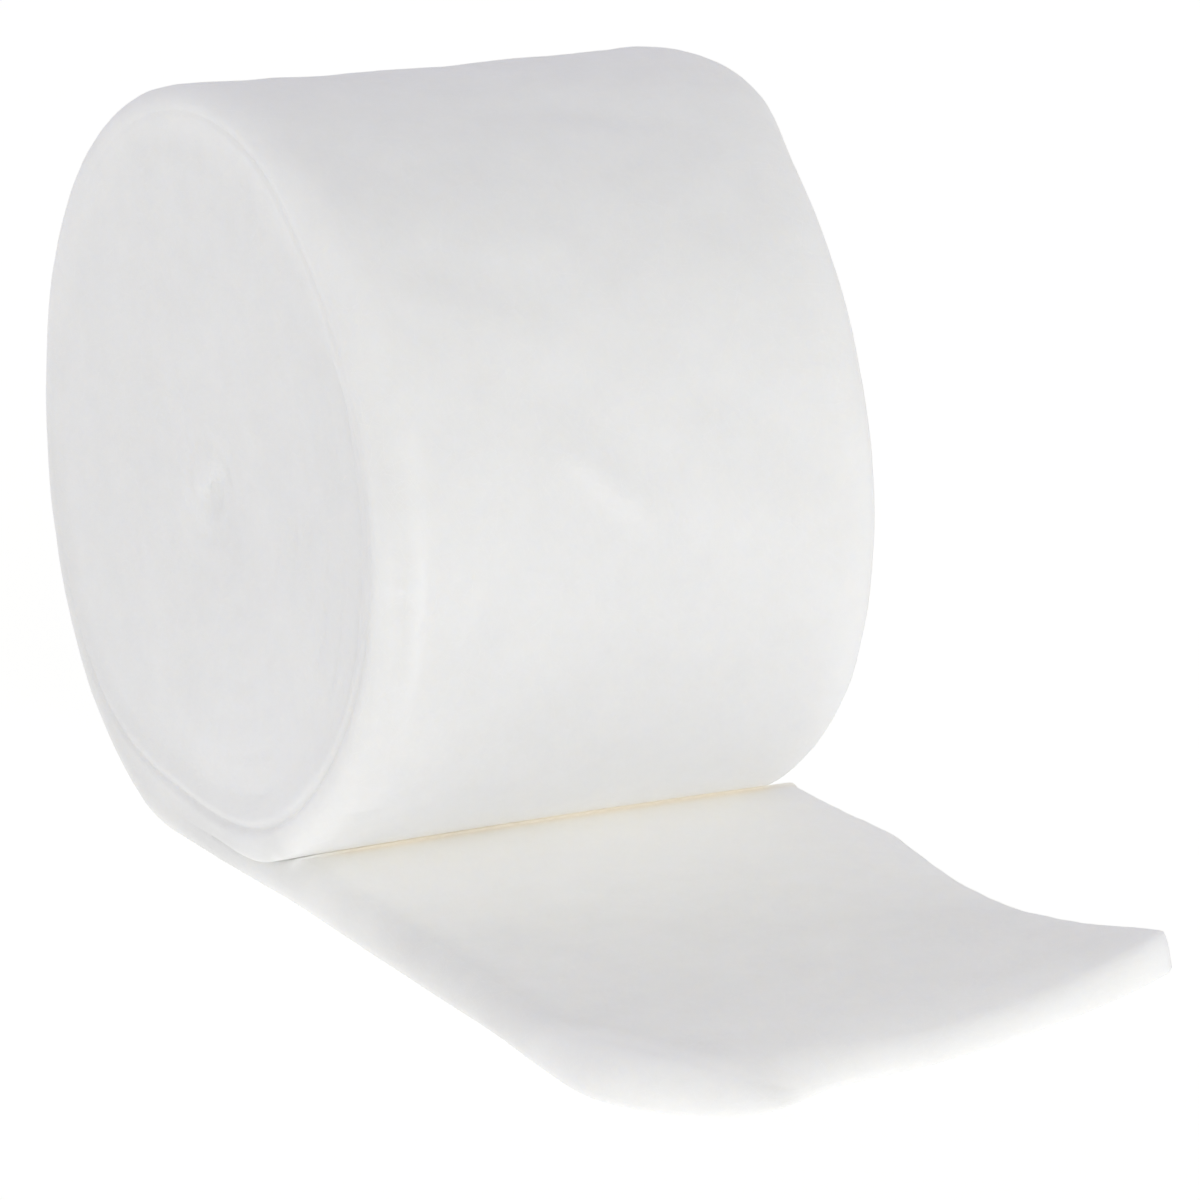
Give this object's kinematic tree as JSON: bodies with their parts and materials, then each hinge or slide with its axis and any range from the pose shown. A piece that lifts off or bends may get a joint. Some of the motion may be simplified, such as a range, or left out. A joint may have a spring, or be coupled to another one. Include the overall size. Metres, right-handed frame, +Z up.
{
  "type": "absorbent cotton roll",
  "caption": "Short thick roll of white absorbent cotton wadding resting on its side, with the end of the strip laid out flat in front and one corner curled up.",
  "frame": {"origin": "on the resting surface, straight under the roll's axis and midway along the roll", "axes": "+X along the roll's axis, towards the end face that is turned away in the picture; +Y away from the loose end; +Z up"},
  "size_m": [0.1065, 0.2322, 0.1406],
  "materials": {
    "cotton": "matt, fibrous"
  },
  "bodies": {
    "root": {"wound_roll": "cotton", "loose_end": "cotton"}
  },
  "joints": []
}
